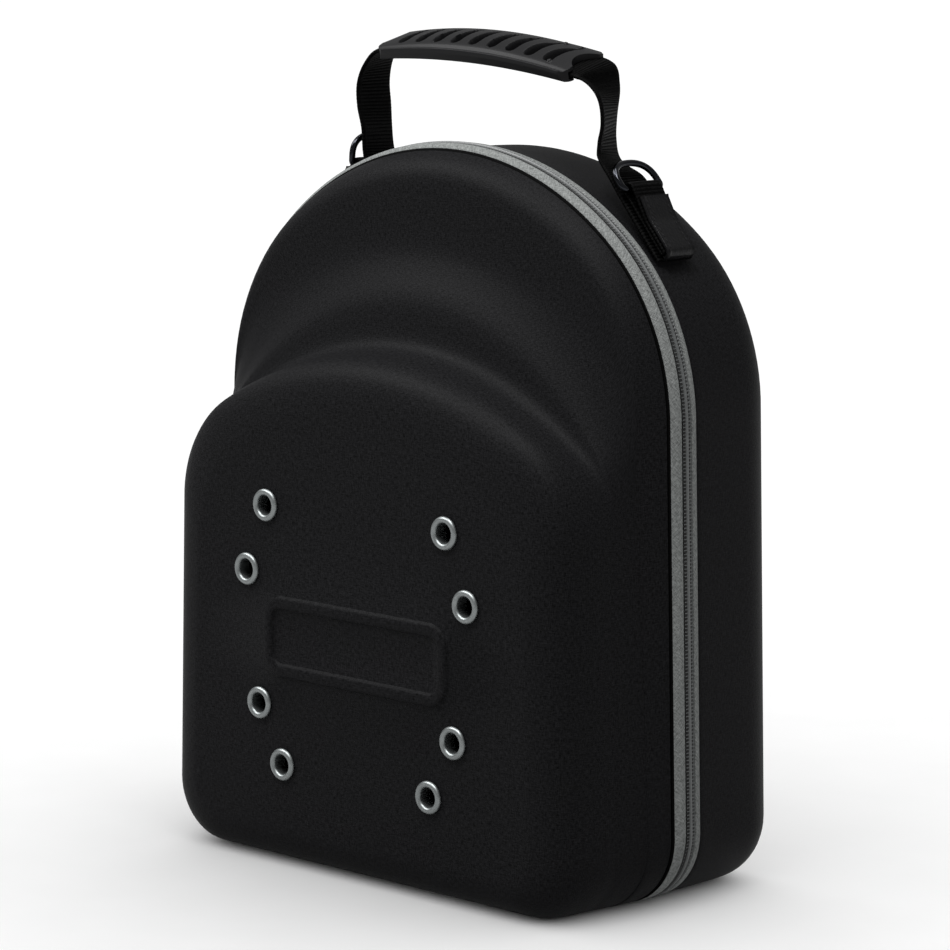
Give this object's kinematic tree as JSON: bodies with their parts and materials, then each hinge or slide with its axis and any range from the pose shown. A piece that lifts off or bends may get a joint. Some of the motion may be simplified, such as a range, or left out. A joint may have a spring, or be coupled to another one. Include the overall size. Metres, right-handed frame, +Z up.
{
  "type": "cap carrier",
  "caption": "Upright hard-shell cap case of two moulded halves with a zip all round, a webbing handle with a rubber grip, shoulder rings and vent eyelets.",
  "frame": {"origin": "middle of the underside, on the plane of the zip", "axes": "+X to the case's right as seen from its front, +Y to the back, +Z up"},
  "size_m": [0.2483, 0.1209, 0.3284],
  "materials": {
    "shell_fabric": "fine woven polyester pressed over moulded foam, dull",
    "zip_tape": "woven polyester tape, dull",
    "zip_coil": "nylon coil, satin",
    "hinge_fabric": "sewn fabric hinge, dull",
    "slider_metal": "gunmetal plated zinc, satin",
    "eyelet_metal": "nickel plated brass, polished",
    "grip_rubber": "moulded rubber, satin",
    "webbing": "ribbed nylon webbing, dull",
    "patch_leather": "coated leather, semi-gloss",
    "ring_metal": "gunmetal plated steel, polished"
  },
  "bodies": {
    "case": {"front_shell": "shell_fabric", "back_shell": "shell_fabric", "zip_tape_front": "zip_tape", "zip_tape_back": "zip_tape", "zip_coil": "zip_coil", "hinge_strip": "hinge_fabric", "zip_slider": "slider_metal", "eyelet_1": "eyelet_metal", "eyelet_2": "eyelet_metal", "eyelet_3": "eyelet_metal", "eyelet_4": "eyelet_metal", "eyelet_5": "eyelet_metal", "eyelet_6": "eyelet_metal", "eyelet_7": "eyelet_metal", "eyelet_8": "eyelet_metal", "handle_grip": "grip_rubber", "handle_strap": "webbing", "ring_tab_left": "webbing", "ring_tab_right": "webbing", "ring_patch_left": "patch_leather", "ring_patch_right": "patch_leather"},
    "ring_left": {"d_ring_left": "ring_metal"},
    "ring_right": {"d_ring_right": "ring_metal"}
  },
  "joints": [
    {"name": "ring_left_swing", "type": "hinge", "parent": "case", "child": "ring_left", "pos_m": [-0.06686, 0.0204, 0.27313], "axis": [0, -1, 0], "range_deg": [0, 105]},
    {"name": "ring_right_swing", "type": "hinge", "parent": "case", "child": "ring_right", "pos_m": [0.07721, 0.0204, 0.27064], "axis": [0, 1, 0], "range_deg": [0, 150]}
  ]
}
